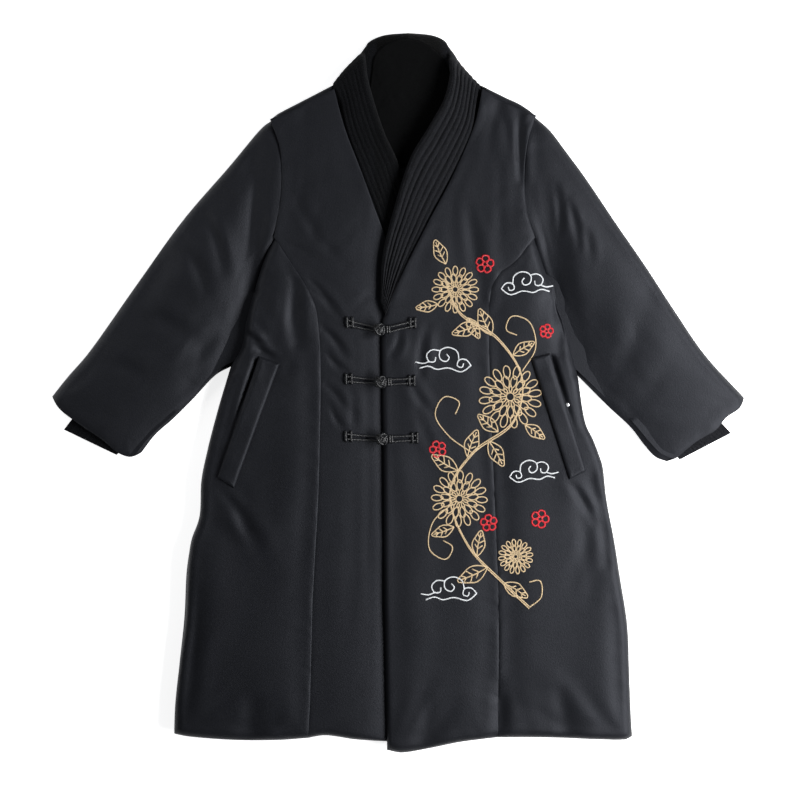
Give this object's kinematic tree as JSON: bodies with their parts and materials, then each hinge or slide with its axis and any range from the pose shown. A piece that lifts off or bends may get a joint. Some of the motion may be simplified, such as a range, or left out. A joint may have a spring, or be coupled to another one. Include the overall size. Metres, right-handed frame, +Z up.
{
  "type": "long padded jacket with a shawl collar and frog fastenings, laid flat",
  "caption": "Long padded wrap-front jacket laid flat, with a ribbed shawl collar, welt pockets, knit inner cuffs and knotted frog fastenings.",
  "frame": {"origin": "on the surface the jacket lies on, below the middle of its outline", "axes": "+Z up out of the front, +Y towards the collar, +X towards the wearer's left sleeve"},
  "size_m": [1.038, 1.0778, 0.0496],
  "materials": {
    "shell_cloth": "soft satin twill, charcoal black",
    "rib_knit": "ribbed knit, black",
    "plush_lining": "short black pile",
    "frog_cord": "satin rouleau cord, black",
    "snap_metal": "pale metal cap"
  },
  "bodies": {
    "root": {"back_panel": "shell_cloth", "front_right_centre": "shell_cloth", "front_right_side": "shell_cloth", "front_left_centre": "shell_cloth", "front_left_side": "shell_cloth", "sleeve_right": "shell_cloth", "sleeve_left": "shell_cloth", "cuff_right": "rib_knit", "cuff_left": "rib_knit", "collar_right": "rib_knit", "collar_left": "rib_knit", "neck_lining": "plush_lining", "pocket_welt_right": "shell_cloth", "pocket_welt_left": "shell_cloth", "frog_button_top": "frog_cord", "frog_loop_top": "frog_cord", "frog_button_middle": "frog_cord", "frog_loop_middle": "frog_cord", "frog_button_bottom": "frog_cord", "frog_loop_bottom": "frog_cord", "pocket_snap_left": "snap_metal"}
  },
  "joints": []
}
